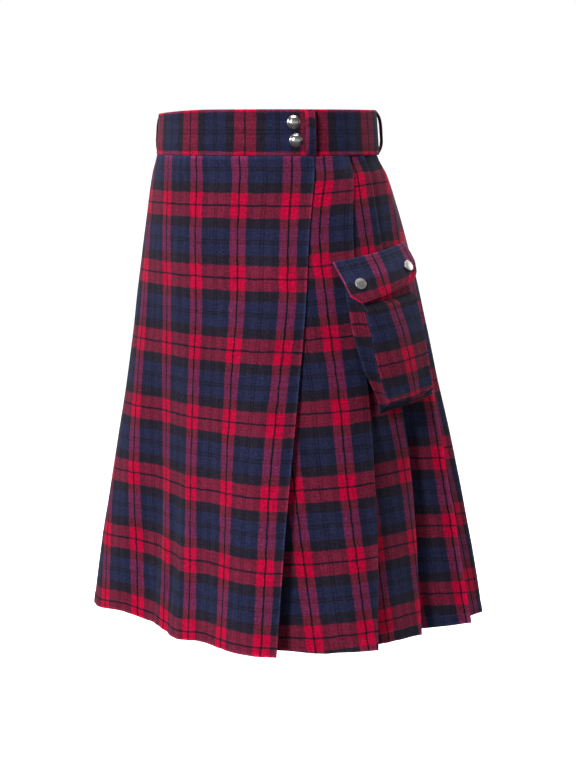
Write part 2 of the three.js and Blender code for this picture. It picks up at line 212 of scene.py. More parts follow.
@lru_cache(maxsize=None)
def section(column, z):
    return at_height(z, SECTION_HEIGHTS, [getattr(row, column) for row in SECTIONS])


def ring_radius(angle, z):
    """Radius of the plain ring: an ellipse in front, a fuller curve behind."""
    s = abs(sin(radians(angle)))
    c = cos(radians(angle))
    power = 2 if c > 0 else FULLER_BACK
    depth = section("front" if c > 0 else "back", z)
    total = (s / section("side", z)) ** power + (abs(c) / depth) ** power
    return total ** (-1 / power)


def lerp(a, b, t):
    return a + (b - a) * t


def smooth(t):
    """0 below 0, 1 above 1 and a soft rise between them."""
    t = min(max(t, 0.0), 1.0)
    return t * t * (3 - 2 * t)


def hill(distance, reach):
    """A soft hill, 1 at its middle and 0 past its reach."""
    return 0.5 + 0.5 * cos(pi * distance / reach) if abs(distance) < reach else 0.0


def overlap_out(angle):
    """How far the over-lapping front lies outside the ring."""
    return OVERLAP_STEP * smooth((angle - OVERLAP_FROM) / (OVERLAP_TO - OVERLAP_FROM))


def polar(angle, radius, z):
    return Vector((radius * sin(radians(angle)), -radius * cos(radians(angle)), z))


def steps(count):
    """Even steps from 0 to 1, both ends among them."""
    return [k / count for k in range(count + 1)]


# Soft folds in the hanging cloth. Each starts at a height and an angle, ends at another, and
# stands out of the ring, or goes into it, by its height in millimetres over its reach in degrees.
Fold = namedtuple("Fold", "top foot start end height reach")
FOLDS = [
    Fold(-150, -640, -44, -41, 5.0, 7),
    Fold(-210, -660, -33, -29, -4.0, 8),
    Fold(-260, -640, -20, -19, 3.0, 6),
    Fold(-330, -650, -10, -8, -2.2, 6),
    Fold(-300, -640, 8, 5, 1.8, 8),
    Fold(-260, -660, 30, 27, -2.6, 9),
    Fold(-60, -330, 20, 24, 1.0, 7),
    Fold(-50, -260, -12, -14, 1.1, 6),
    Fold(-190, -620, 66, 64, -2.4, 5),
    Fold(-300, -640, 74, 72, 1.8, 4),
    Fold(-230, -600, 107, 109, -1.6, 5),
    Fold(-200, -640, 134, 137, 2.0, 5),
    Fold(-280, -640, 160, 157, -1.8, 5),
    Fold(-150, -640, 176, 178, 2.2, 6),
    Fold(-180, -640, -72, -75, 2.2, 6),
    Fold(-240, -620, -90, -92, -2.0, 5),
    Fold(-170, -640, -118, -120, 2.0, 6),
    Fold(-260, -640, -134, -131, -1.7, 5),
    Fold(-200, -640, -156, -159, 2.1, 6),
]

# Where the cloth hangs lower than its level, or higher, and by how much at the hem.
Droop = namedtuple("Droop", "angle reach depth")
DROOPS = [
    Droop(-42, 12, -4.5),
    Droop(-2, 22, 4.5),
    Droop(62, 9, 2.0),
    Droop(112, 14, 2.0),
    Droop(150, 18, 3.0),
    Droop(-110, 16, 2.5),
    Droop(-150, 16, -2.0),
]
DROOP_TOP = -330.0

# How fast a fold grows and fades along its length, and the small relief of all the cloth:
# unevenness, puckers under the waistband and waves at the hem, which wander a little.
FOLD_RISE = 1.6
FOLD_FADE = 4.0
FOLD_WIDEST = 2.5
UNEVEN = 0.55
UNEVEN_START = 60.0
UNEVEN_SPREAD = 11.0
UNEVEN_DROP = 47.5
WANDER = 2.2
WANDER_SPREAD = 0.8
PUCKER = 0.45
PUCKER_DROP = 16.0
PUCKER_TURNS = 58
HEM_WAVE = 0.5
HEM_WAVE_RISE = 22.0
HEM_WAVE_TURNS = 46


def along_circle(angle, other):
    """Difference of two angles, from -180 to 180."""
    return (angle - other + 180) % 360 - 180


def fold_relief(fold, angle, z):
    """A fold grows softly from its top and fades again at its foot."""
    if z > fold.top or z < fold.foot:
        return 0.0
    down = (fold.top - z) / (fold.top - fold.foot)
    off = along_circle(angle, lerp(fold.start, fold.end, down)) / fold.reach
    if abs(off) > FOLD_WIDEST:
        return 0.0
    shape = smooth(down * FOLD_RISE) * smooth((1 - down) * FOLD_FADE)
    return fold.height * shape * exp(-off * off)


def relief(angle, z):
    """How far the worn cloth stands out of the plain ring: folds, unevenness and puckers."""
    out = sum(fold_relief(fold, angle, z) for fold in FOLDS)
    turn = Vector((sin(radians(angle)), cos(radians(angle)), 0)) * UNEVEN_SPREAD
    below = PANEL_TOP - z
    lumps = noise.noise(turn + Vector((0, 0, z / UNEVEN_DROP)))
    out += UNEVEN * smooth(below / UNEVEN_START) * lumps
    wander = WANDER * noise.noise(turn * WANDER_SPREAD)
    out += PUCKER * exp(-below / PUCKER_DROP) * sin(radians(angle) * PUCKER_TURNS + wander)
    above = z - HEM
    out += HEM_WAVE * exp(-above / HEM_WAVE_RISE) * sin(radians(angle) * HEM_WAVE_TURNS + wander)
    return out


def band_radius(angle, z):
    """The waistband's middle, straight from its top to its bottom edge."""
    down = (BAND_TOP - z) / BAND_HEIGHT
    radius = lerp(ring_radius(angle, BAND_TOP), ring_radius(angle, BAND_BOTTOM), down)
    if OVERLAP_FROM < angle <= OVERLAP_END:
        radius += overlap_out(angle)
    return radius


def apron_radius(angle, z):
    radius = ring_radius(angle, z) + overlap_out(angle) + relief(angle, z)
    for swell in APRON_SWELLS:
        radius += swell.sign * section(swell.column, z) * hill(angle - swell.angle, swell.reach)
    return radius


BAND_DIP = 3.6
BAND_DIP_ANGLE = -55.0
BAND_DIP_REACH = 70.0


def on_band(angle, z):
    """The band's top edge dips a little at the wearer's right side."""
    dip = BAND_DIP * hill(angle - BAND_DIP_ANGLE, BAND_DIP_REACH) * max(z, 0) / BAND_TOP
    return polar(angle, band_radius(angle, z), z - dip)


def hem_droop(angle, z):
    """How far the cloth hangs lower than its level at an angle, growing towards the hem."""
    low = smooth((DROOP_TOP - z) / (DROOP_TOP - HEM))
    return low * sum(d.depth * hill(along_circle(angle, d.angle), d.reach) for d in DROOPS)


def on_apron(angle, z):
    return polar(angle, apron_radius(angle, z), z - hem_droop(angle, z))


def on_ring(angle, z, out):
    """A point that stands out of the worn ring by a distance."""
    return polar(angle, ring_radius(angle, z) + relief(angle, z) + out, z - hem_droop(angle, z))


# ---------------- pleated sides
# Each side starts behind the apron at an angle and a depth inside the ring. Its width at the hem
# in metres and its area in square metres are what shows of its cut.
PleatedSide = namedtuple("PleatedSide", "name pleats start sink sign width area")
SIDES = [
    PleatedSide("left", LEFT_PLEATS, 26.0, 0.0, 1, 0.933, 0.42),
    PleatedSide("right", RIGHT_PLEATS, 52.0, LAYER_STEP, -1, 0.82, 0.375),
]
FACE_STEPS = 14
FOLD_STEPS = 4
RETURN_STEPS = 4
FACE_BELLY = 1.6
BACK_SEAM = 0.02
LAST_FACE_RISE = 0.8
LAST_FACE_PAIR = 12.0
LAST_FACE_CLIMB = 44.0


def face_inset(angle, start, edge, sink, rise):
    """How far a face lies inside the ring, from its sunken start out to its fold."""
    t = (angle - start) / (edge - start)
    return sink + (-rise - sink) * t * t * (FACE_BELLY - (FACE_BELLY - 1) * t)


def half_turn(angle, reach, outer, inner):
    """A rounded fold between two layers, as pairs of an angle and an inset."""
    turns = [pi * k / FOLD_STEPS for k in range(1, FOLD_STEPS)]
    return [(angle + reach * sin(t), lerp(outer, inner, 0.5 - 0.5 * cos(t))) for t in turns]


def straight(a, b, count):
    """Pairs from a to b, both among them."""
    return [(lerp(a[0], b[0], t), lerp(a[1], b[1], t)) for t in steps(count)]


def pleat_layers(pleat, start, sink, z):
    """One pleat at one height: its face, and the fold and the hidden cloth behind it."""
    per_millimetre = 180 / (pi * ring_radius(PLEAT_RING_ANGLE, z))
    gape = lerp(1, GAPE_AT_HEM, (z - BAND_BOTTOM) / (HEM - BAND_BOTTOM))
    step = LAYER_STEP * gape
    reach = 0.5 * LAYER_STEP * per_millimetre
    edge = at_height(z, STATIONS, pleat.edge)
    rise = at_height(z, STATIONS, pleat.rise)
    next_sink = max(at_height(z, STATIONS, pleat.sink), 2 * step - rise)
    hidden = edge - RETURN_LENGTH * per_millimetre
    deep = face_inset(hidden, start, edge, sink, rise)
    angles = [lerp(start, edge - reach, t) for t in steps(FACE_STEPS)]
    face = [(a, face_inset(a, start, edge, sink, rise)) for a in angles]
    face[-1] = (edge - reach, -rise)
    behind = half_turn(edge - reach, reach, -rise, -rise + step)
    back = (edge - reach, -rise + step)
    behind += straight(back, (hidden + reach, deep + step), RETURN_STEPS)
    behind += half_turn(hidden + reach, -reach, deep + step, deep + 2 * step)
    out = straight((hidden + reach, deep + 2 * step), (edge, next_sink), RETURN_STEPS)[:-1]
    return face, behind, out, edge, next_sink


def last_face(start, sink, z):
    """The half face that meets its twin at the centre back."""
    end = 180 - BACK_SEAM * 180 / (pi * ring_radius(180, z))
    insets = [sink * (1 - LAST_FACE_RISE * smooth(t)) for t in steps(FACE_STEPS)]
    return [(lerp(start, end, t), inset) for t, inset in zip(steps(FACE_STEPS), insets)]


# A middle point of the cloth and its place in the weave, along the weft and down the warp.
Spot = namedtuple("Spot", "point across down")


def lengths_along(points):
    """Length along a line at each of its points."""
    lengths = [0.0]
    for a, b in zip(points, points[1:]):
        lengths.append(lengths[-1] + (b - a).length)
    return lengths


def placed(points, anchor, across, downs):
    """Spots along one row: the across place is measured on the cloth from the anchor point."""
    lengths = lengths_along(points)
    start = across - lengths[anchor]
    return [Spot(p, start + length, down) for p, length, down in zip(points, lengths, downs)]


def spot_grid(spot, acrosses, downs):
    """Rows of spots, from a function of the place across and the place down."""
    return [[spot(across, down) for across in acrosses] for down in downs]


def pleated_row(side, z):
    """One pleated side at one height. The weave changes its place only at hidden inner folds."""
    start, sink, lead = side.start, side.sink, []
    row = []
    for pleat in side.pleats:
        face, behind, out, edge, next_sink = pleat_layers(pleat, start, sink, z)
        pairs = lead + face + behind
        points = [on_ring(side.sign * a, z, -inset) for a, inset in pairs]
        fold = len(lead) + len(face) - 1
        level = z - HEM - at_height(z, STATIONS, pleat.climb)
        lean = lerp(*pleat.lean, (z - PANEL_TOP) / (HEM - PANEL_TOP))
        downs = [level + lean] * len(lead)
        downs += [level + lean * (1 - t) for t in steps(FACE_STEPS)]
        downs += [level] * len(behind)
        row += placed(points, fold, at_height(z, STATIONS, pleat.pair), downs)
        start, sink, lead = edge, next_sink, out
    pairs = lead + last_face(start, sink, z)
    points = [on_ring(side.sign * a, z, -inset) for a, inset in pairs]
    downs = [z - HEM - LAST_FACE_CLIMB] * len(points)
    row += placed(points, len(points) - 1, LAST_FACE_PAIR, downs)
    return row if side.sign > 0 else row[::-1]


# A red weft band crosses the apron at a height above the hem, and a pair of red warp stripes runs
# down it at some distance from its left edge.
APRON_COLUMNS = 120
APRON_CLIMB = 10.0
APRON_PAIR = [25.7, 23.7, 21.2, 22.6, 22.6, 20, 18]


def apron_row(z):
    left = at_height(z, STATIONS, APRON_LEFT_EDGE)
    right = at_height(z, STATIONS, APRON_RIGHT_EDGE)
    points = [on_apron(lerp(right, left, t), z) for t in steps(APRON_COLUMNS)]
    downs = [z - HEM - APRON_CLIMB] * len(points)
    return placed(points, APRON_COLUMNS, at_height(z, STATIONS, APRON_PAIR), downs)


# ---------------- pocket
# Rows of the pocket from its top to its foot: the angles and heights between which its gusset
# meets the kilt, the angles between which its face lies, how far out of the ring the gusset ends
# in front and behind, and how far out the face is.
POCKET_FIELDS = "skirt_from z_from skirt_to z_to face_from face_to low low_back high"
PocketRow = namedtuple("PocketRow", POCKET_FIELDS)
POCKET_ROWS = [
    PocketRow(75.3, -166, 109, -151, 78, 103, 1.7, 1.7, 13),
    PocketRow(76.2, -193, 110, -179, 79, 102.5, 1.7, 2.4, 16.5),
    PocketRow(76.6, -197, 110.3, -183, 78.6, 103, 1.7, 2.6, 22),
    PocketRow(78, -228, 112, -214, 80, 104, 2, 4.6, 26),
    PocketRow(81.4, -265, 114.5, -252, 81.6, 105, 3, 7, 29),
    PocketRow(87, -303, 117.5, -291, 84.6, 106.5, 5, 10, 30),
]
POCKET_FOOT_DROP = 15.0

# Rows of the flap: its two ends, each an angle and a height, and how far it stands out.
FlapRow = namedtuple("FlapRow", "start z_from end z_to out")
FLAP_ROWS = [
    FlapRow(71, -145, 112, -126, 2.2),
    FlapRow(71.6, -154, 110.5, -134, 8),
    FlapRow(72.4, -168, 107, -147, 19),
    FlapRow(73.6, -182, 104.5, -159, 24),
    FlapRow(77, -189.5, 101, -169, 26),
]
FLAP_WALL = 2.2


def blended_row(rows, down):
    """A row of a table at a place between its rows."""
    i = min(int(down), len(rows) - 2)
    return type(rows[0])(*[lerp(a, b, down - i) for a, b in zip(rows[i], rows[i + 1])])


def on_pocket_face(across, down, out=0.0):
    row = blended_row(POCKET_ROWS, down)
    angle = lerp(row.face_from, row.face_to, across)
    span = (angle - row.skirt_from) / (row.skirt_to - row.skirt_from)
    return on_ring(angle, lerp(row.z_from, row.z_to, span), row.high + out)


def on_pocket_foot(across, down, drop=0.0):
    row = blended_row(POCKET_ROWS, down)
    angle = lerp(row.skirt_from, row.skirt_to, across)
    z = lerp(row.z_from, row.z_to, across) - drop
    return on_ring(angle, z, lerp(row.low, row.low_back, across))


def on_flap(across, down, out=0.0):
    row = blended_row(FLAP_ROWS, down)
    z = lerp(row.z_from, row.z_to, across)
    return on_ring(lerp(row.start, row.end, across), z, row.out + out)


# ---------------- meshes
RIM_ANGLE = 60
ROW_SPACING = 5.0
HEM_TURN = 12.0
HEM_EXTRA = 0.9
HEM_STEP = 2.0
# Rows above the hem, close together where the turned edge steps in.
HEM_RISES = [HEM_TURN + 1, HEM_TURN, HEM_TURN - 1, 7.0, 3.0, 0.0]


def in_scene(name, data):
    """A new object with its data, placed in the scene."""
    made = bpy.data.objects.new(name, data)
    bpy.context.collection.objects.link(made)
    return made


def mesh_object(name, points, faces, finish, places=None):
    """An object from points in millimetres; places are each corner's spot in the cloth."""
    mesh = bpy.data.meshes.new(name)
    mesh.from_pydata([p * MILLIMETRE for p in points], [], faces)
    mesh.materials.append(finish)
    mesh.polygons.foreach_set("use_smooth", [True] * len(mesh.polygons))
    if places:
        layer = mesh.uv_layers.new(name="Cloth")
        for corner in mesh.loops:
            layer.data[corner.index].uv = places[corner.vertex_index]
    mesh.validate()
    return in_scene(name, mesh)


def finish_piece(piece, slot, *nodes):
    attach(piece, "root")
    if nodes:
        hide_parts(*nodes)


def surface_normals(rows, level_ends):
    """Outward direction of the cloth at every spot, in the end rows made level if wanted."""
    last_row, last = len(rows) - 1, len(rows[0]) - 1
    normals = []
    for r, row in enumerate(rows):
        above, below = rows[max(r - 1, 0)], rows[min(r + 1, last_row)]
        line = []
        for c in range(last + 1):
            along = row[min(c + 1, last)].point - row[max(c - 1, 0)].point
            down = below[c].point - above[c].point
            out = down.cross(along)
            if level_ends and r in (0, last_row):
                out.z = 0
            line.append(out.normalized())
        normals.append(line)
    return normals


def even(thickness):
    """The same thickness everywhere."""
    return lambda r, c: thickness


def cloth_shell(name, rows, wall, finish, level_ends=True, lining=even(0.0)):
    """A closed thin shell round rows of spots.

    The wall gives the thickness at a row and column, and the lining what is more on the inside.
    """
    height, width = len(rows), len(rows[0])
    normals = surface_normals(rows, level_ends)
    points, places = [], []
    for side in (0.5, -0.5):
        for r, row in enumerate(rows):
            for c, spot in enumerate(row):
                inward = lining(r, c) if side < 0 else 0.0
                points.append(spot.point + normals[r][c] * (side * wall(r, c) - inward))
                places.append((spot.across * MILLIMETRE, spot.down * MILLIMETRE))
    skin = height * width
    faces = []
    for r in range(height - 1):
        for c in range(width - 1):
            i = r * width + c
            faces.append((i, i + width, i + width + 1, i + 1))
            faces.append((skin + i, skin + i + 1, skin + i + width + 1, skin + i + width))
    border = list(range(width - 1))
    border += [r * width + width - 1 for r in range(height - 1)]
    border += [(height - 1) * width + c for c in range(width - 1, 0, -1)]
    border += [r * width for r in range(height - 1, 0, -1)]
    for a, b in zip(border, border[1:] + border[:1]):
        faces.append((a, b, skin + b, skin + a))
    made = mesh_object(name, points, faces, finish, places)
    made.data.set_sharp_from_angle(angle=radians(RIM_ANGLE))
    return made


def hem_wall(heights):
    """Thickness of a panel: the hem is turned up, so it is thicker there."""

    def wall(r, c):
        rise = heights[r] - HEM
        return CLOTH_WALL + HEM_EXTRA * smooth((HEM_TURN - rise) / HEM_STEP + 0.5)

    return wall


def panel_rows():
    """Heights of a panel's rows, evenly down to the turned hem and then through it."""
    foot = HEM + HEM_TURN + HEM_STEP
    count = round((PANEL_TOP - foot) / ROW_SPACING)
    heights = [lerp(PANEL_TOP, foot, t) for t in steps(count)]
    return heights + [HEM + rise for rise in HEM_RISES]


# ---------------- waistband
BAND_COLUMNS = 201
# The lining's depth, where it starts below the band's middle and behind the over-lap, and how
# softly it grows from there.
BAND_LINING = 4.2
BAND_LINING_TOP = -20.0
BAND_LINING_RISE = 5.0
BAND_LINING_END = 4.0
BAND_LINING_FADE = 6.0
BAND_ROUND = 1.4
BAND_EDGE_LOSS = 0.75
# Heights of the band's rows, close together at its edges and its lines of stitches.
BAND_ROWS = [26, 25.8, 25.2, 24, 22.6, 22, 21.4, 18, 12, 6, 0, -6, -12, -18]
BAND_ROWS += [-21.4, -22, -22.6, -24, -25.2, -25.8, -26]
BAND_ACROSS = (5.5, 53.5)
BAND_STITCH = 22.0
STITCH_DENT = 0.35
STITCH_DENT_REACH = 0.7
# Angles where the middle of a red band crosses the waistband, with the bands counted.
BAND_CHECKS = [(-291.2, 0), (-261.6, 1), (-1.2, 8), (33.6, 9)]


def checks_along(length, marks):
    """Bands counted at a length along the band, straight between and beyond the marks."""
    k = 0
    while k < len(marks) - 2 and length > marks[k + 1][0]:
        k += 1
    (a, first), (b, second) = marks[k], marks[k + 1]
    return lerp(first, second, (length - a) / (b - a))


def band_angle(column):
    return lerp(BAND_START, OVERLAP_END, column / BAND_COLUMNS)


def band_spots():
    """The band runs from its under-lap round the back to the end of its over-lap.

    It is cut along the warp's stripes, so that the red weft bands cross it.
    """
    angles = [band_angle(c) for c in range(BAND_COLUMNS + 1)]
    lengths = lengths_along([on_band(angle, 0) for angle in angles])
    marks = []
    for mark, count in BAND_CHECKS:
        place = (mark - BAND_START) / (OVERLAP_END - BAND_START) * BAND_COLUMNS
        k = int(place)
        marks.append((lerp(lengths[k], lengths[k + 1], place - k), count))
    downs = [WEFT_REPEAT * checks_along(length, marks) for length in lengths]
    rows = []
    for z in BAND_ROWS:
        across = lerp(*BAND_ACROSS, (z - BAND_BOTTOM) / BAND_HEIGHT)
        rows.append([Spot(on_band(angle, z), across, down) for angle, down in zip(angles, downs)])
    return rows


def band_wall(r, c):
    """The band's edges are soft folds and its two lines of stitches pull it in."""
    z = abs(BAND_ROWS[r])
    edge = max(z - (BAND_TOP - BAND_ROUND), 0) / BAND_ROUND
    dent = STITCH_DENT * exp(-(((z - BAND_STITCH) / STITCH_DENT_REACH) ** 2))
    return BAND_WALL * (1 - BAND_EDGE_LOSS * edge**2) - 2 * dent


def band_lining(r, c):
    """Inside its bottom edge the band is let out over the tops of the pleats sewn into it."""
    free = smooth((OVERLAP_FROM - BAND_LINING_END - band_angle(c)) / BAND_LINING_FADE)
    return BAND_LINING * free * smooth((BAND_LINING_TOP - BAND_ROWS[r]) / BAND_LINING_RISE)


# ---------------- belt loops
# Each strap's angle, how far it bows out, and the place in the weave at its middle.
Loop = namedtuple("Loop", "name angle bow across down")
LOOPS = [
    Loop("front_left", 64.5, 6.3, 12.0, -30.0),
    Loop("front_right", -66, 3.4, 20.0, 8.0),
    Loop("side_left", 126, 6.3, 0.0, 30.0),
    Loop("side_right", -126, 6.0, 5.0, 25.0),
    Loop("centre_back", 180, 6.3, 24.0, 0.0),
]
LOOP_WIDTH = 11.0
LOOP_WALL = 1.4
LOOP_HALF_HEIGHT = 25.0
LOOP_ROWS = 28
LOOP_EDGE_LOSS = 0.6
LOOP_COLUMNS = [-1, -0.97, -0.85, -0.6, -0.3, 0, 0.3, 0.6, 0.85, 0.97, 1]


def outward_at(surface, u, v):
    """The outward direction of a surface given as a function of two numbers."""
    small = 0.05
    across = surface(u + small, v) - surface(u - small, v)
    down = surface(u, v - small) - surface(u, v + small)
    out = down.cross(across).normalized()
    here = surface(u, v)
    return -out if out.x * here.x + out.y * here.y < 0 else out


def loop_spots(loop):
    """A strap bowed off the band and sewn flat to it at both ends."""
    half_angle = LOOP_WIDTH / 2 * 180 / (pi * ring_radius(loop.angle, 0))
    seat = BAND_WALL / 2 + SEAM_GAP + LOOP_WALL / 2
    out = outward_at(on_band, loop.angle, 0)

    def spot(across, t):
        z = LOOP_HALF_HEIGHT * cos(pi * t)
        bow = loop.bow * (1 - (z / LOOP_HALF_HEIGHT) ** 4)
        point = on_band(loop.angle + across * half_angle, z) + out * (seat + bow)
        return Spot(point, across * LOOP_WIDTH / 2 + loop.across, z + loop.down)

    return spot_grid(spot, LOOP_COLUMNS, steps(LOOP_ROWS))


def loop_wall(r, c):
    """The strap's long edges are folds, so they thin out roundly."""
    return LOOP_WALL * (1 - LOOP_EDGE_LOSS * abs(LOOP_COLUMNS[c]) ** 12)


# ---------------- pocket pieces
LAST_POCKET_ROW = len(POCKET_ROWS) - 1
TUCK_ROW = 2
POCKET_MIDDLE = (0.5, 3)
FACE_COLUMNS = 36
FACE_ROWS = [0, 0.5, 0.9, 1, 1.35, 1.7, 1.9, 2] + [2 + 3 * t for t in steps(30)][1:]
FACE_WIDTH = 86.0
FACE_PAIR = 0.57
FACE_BAND = -261.0
FACE_SLANT = (8.0, -2.0)
FACE_HEM = 4.82
FACE_HEM_SHARP = 40
FACE_CROWN = 2.4
FACE_CROWN_RISE = 1.1
FACE_WALL = 1.3
FACE_PUCKER = 0.4
FACE_PUCKER_TURNS = 17
FACE_PUCKER_SLANT = 4
FACE_PUCKER_FADE = 12
TUCK_LIP = 1.5
TUCK_LIP_ROW = TUCK_ROW + 0.1
TUCK_LIP_REACH = 0.07
# Creases of the pocket's face: a place across and down it, how fast the crease falls away along
# each, how sharp and how deep it is, and how far down the face it starts.
FaceCrease = namedtuple("FaceCrease", "across down along_across along_down sharp depth start")
FACE_CREASES = [
    FaceCrease(0.86, 4.3, 6, 1.6, 3, 1.6, 0.9),
    FaceCrease(0.3, 4.4, 5, -1.2, 4, 0.7, 1.1),
]
GUSSET_LIP = 2.0
GUSSET_ROWS = 10
GUSSET_FOLD = 2.2
GUSSET_WIDTH = 26.0
GUSSET_PAIR = 12.0
GUSSET_BAND = 51.0
FLAP_COLUMNS = 44
FLAP_STEPS = 26
FLAP_WIDTH = 119.7
FLAP_PAIR = 0.405
FLAP_BAND = -195.0
FLAP_CROWN = 1.2
FLAP_EDGE = 0.035
FLAP_EDGE_PULL = 6.0
FLAP_EDGE_WALL = 0.45
FLAP_EDGE_START = 0.2
FLAP_SIDE_RISE = 30
FLAP_FOOT_RISE = 16


def face_relief(across, down):
    """The filled pocket's face: a crown, a lip at its tuck, puckered sides and slanting creases."""
    if down < TUCK_ROW:
        return 0.0
    low = (down - TUCK_ROW) / (LAST_POCKET_ROW - TUCK_ROW)
    crown = FACE_CROWN * sin(pi * across) * sin(pi * min(low * FACE_CROWN_RISE, 1))
    edge = min(across, 1 - across)
    turn = down * FACE_PUCKER_TURNS + across * FACE_PUCKER_SLANT
    pucker = FACE_PUCKER * (1 + sin(turn)) * exp(-FACE_PUCKER_FADE * edge)
    lip = TUCK_LIP * exp(-(((down - TUCK_LIP_ROW) / TUCK_LIP_REACH) ** 2))
    out = crown + lip + pucker
    for crease in FACE_CREASES:
        off = (across - crease.across) * crease.along_across
        off += (down - crease.down) * crease.along_down
        out -= crease.depth * exp(-crease.sharp * off**2) * smooth(low * 2 - crease.start)
    return out


def face_spot(across, down):
    """The check runs on through the tuck and shifts where the foot's hem is turned up."""
    low = (down - TUCK_ROW) / (LAST_POCKET_ROW - TUCK_ROW)
    along = (across - FACE_PAIR) * FACE_WIDTH + lerp(*FACE_SLANT, low)
    hem_shift = WEFT_REPEAT / 2 * smooth((down - FACE_HEM) * FACE_HEM_SHARP + 0.5)
    z = blended_row(POCKET_ROWS, down).z_from
    point = on_pocket_face(across, down, face_relief(across, down))
    return Spot(point, along, z - FACE_BAND + hem_shift)


def gusset_path():
    """Places round the pocket's two sides and foot: across the pocket, down it, and under it."""
    path = [(0.0, LAST_POCKET_ROW * t, 0.0) for t in steps(30)]
    path += [(0.0, LAST_POCKET_ROW, t) for t in (0.25, 0.5, 0.75)]
    path += [(t, LAST_POCKET_ROW, 1.0) for t in steps(24)]
    path += [(1.0, LAST_POCKET_ROW, t) for t in (0.75, 0.5, 0.25)]
    return path + [(1.0, LAST_POCKET_ROW * (1 - t), 0.0) for t in steps(30)]


def gusset_spots():
    """A strip folded inwards, from the face's edges back to the kilt, without a top side."""
    under = -(CLOTH_WALL / 2 + SEAM_GAP + FACE_WALL / 2)
    rows = [[] for _ in range(GUSSET_ROWS + 1)]
    length = 0.0
    before = None
    for across, down, drop in gusset_path():
        face = on_pocket_face(across, down, under) - Vector((0, 0, GUSSET_LIP * drop))
        foot = on_pocket_foot(across, down, POCKET_FOOT_DROP * drop)
        middle = face.lerp(foot, 0.5)
        length += (middle - before).length if before else 0.0
        before = middle
        inward = on_pocket_face(*POCKET_MIDDLE) - middle
        inward.z = 0 if drop < 1 else inward.z
        inward.normalize()
        for k, t in enumerate(steps(GUSSET_ROWS)):
            point = face.lerp(foot, t) + inward * GUSSET_FOLD * sin(pi * t)
            rows[k].append(Spot(point, t * GUSSET_WIDTH + GUSSET_PAIR, length - GUSSET_BAND))
    return rows


def flap_spot(across, t):
    """The weave is pulled aside at the flap's front edge, where it turns under."""
    down = t * (len(FLAP_ROWS) - 1)
    along = (across - FLAP_PAIR) * FLAP_WIDTH
    along -= FLAP_EDGE_PULL * smooth((FLAP_EDGE - across) / FLAP_EDGE)
    crown = FLAP_CROWN * sin(pi * across) * sin(pi * t)
    z = blended_row(FLAP_ROWS, down).z_from
    return Spot(on_flap(across, down, crown), along, z - FLAP_BAND)


def flap_wall(r, c):
    """The flap is two layers, pressed thinner towards its sides and its foot."""
    across, down = c / FLAP_COLUMNS, r / FLAP_STEPS
    side = min(across, 1 - across) * FLAP_SIDE_RISE
    border = min(side, (1 - down) * FLAP_FOOT_RISE, 1)
    return FLAP_WALL * lerp(FLAP_EDGE_WALL, 1, smooth(border + FLAP_EDGE_START))


# ---------------- snap caps
# Each cap's place on a cloth, how thick the cloth is there, and the cap's own size.
Snap = namedtuple("Snap", "name surface u v wall radius height")
WAIST_SNAPS = [
    Snap("waist_snap_upper", on_band, 57.2, 11.5, BAND_WALL, 7.8, 4.2),
    Snap("waist_snap_lower", on_band, 58.2, -8.5, BAND_WALL, 7.8, 4.2),
]
FLAP_SNAPS = [
    Snap("flap_snap_front", on_flap, 0.145, 2.3, FLAP_WALL + FLAP_CROWN, 6.9, 2.6),
    Snap("flap_snap_back", on_flap, 0.825, 2.15, FLAP_WALL + FLAP_CROWN, 6.9, 2.6),
]
CAP_SIDES = 56
# Profiles as shares of the cap's radius and height, from under the rim to the middle.
DOMED = [(0.9, 0), (0.98, 0.05), (1, 0.14), (0.985, 0.24), (0.94, 0.31), (0.9, 0.33)]
DOMED += [(0.87, 0.36), (0.84, 0.45), (0.76, 0.63), (0.64, 0.79), (0.48, 0.91), (0.26, 0.98)]
FLAT = [(0.92, 0), (0.99, 0.1), (1, 0.3), (0.98, 0.55), (0.93, 0.78), (0.87, 0.84)]
FLAT += [(0.84, 0.78), (0.8, 0.8), (0.66, 0.9), (0.46, 0.97), (0.22, 1.0)]


def snap_cap(snap, profile, finish):
    """A pressed metal cap, turned round the outward direction of the cloth it sits on."""
    out = outward_at(snap.surface, snap.u, snap.v)
    side = out.orthogonal().normalized()
    other = out.cross(side)
    foot = snap.surface(snap.u, snap.v) + out * (snap.wall / 2 + SEAM_GAP / 2)
    points, faces = [], []
    for share, rise in profile:
        for k in range(CAP_SIDES):
            turn = 2 * pi * k / CAP_SIDES
            reach = side * cos(turn) + other * sin(turn)
            points.append(foot + reach * snap.radius * share + out * snap.height * rise)
    for r in range(len(profile) - 1):
        for k in range(CAP_SIDES):
            a, b = r * CAP_SIDES + k, r * CAP_SIDES + (k + 1) % CAP_SIDES
            faces.append((a, b, b + CAP_SIDES, a + CAP_SIDES))
    last = (len(profile) - 1) * CAP_SIDES
    points += [foot.copy(), foot + out * snap.height]
    for k in range(CAP_SIDES):
        after = (k + 1) % CAP_SIDES
        faces.append((after, k, len(points) - 2))
        faces.append((last + k, last + after, len(points) - 1))
    return mesh_object(snap.name + "_cap", points, faces, finish)


# ---------------- stitches
STITCH_LENGTH = 2.7
STITCH_PITCH = 3.6
STITCH_RADIUS = 0.3
STITCH_INSET = 0.035
BAND_LINE_STEP = 1.5
BAND_LINE_STOP = 0.8
BAND_END_INSET = 1.6

# Where lines of stitches lie on the flap and on the pocket's face, in rows of their tables.
FLAP_LINE_TOP = 0.15
FLAP_SEWN_LINES = (0.25, 0.62)
FLAP_LINE_FOOT = len(FLAP_ROWS) - 1.35
FACE_LINE_TOP = TUCK_ROW + 0.1
FACE_LINE_FOOT = LAST_POCKET_ROW - 0.16


def along_line(line, length):
    """The point and outward direction at a length along a line of such pairs."""
    for (a, out), (b, _) in zip(line, line[1:]):
        step = (b - a).length
        if length <= step:
            return a.lerp(b, length / step if step else 0), out
        length -= step
    return None


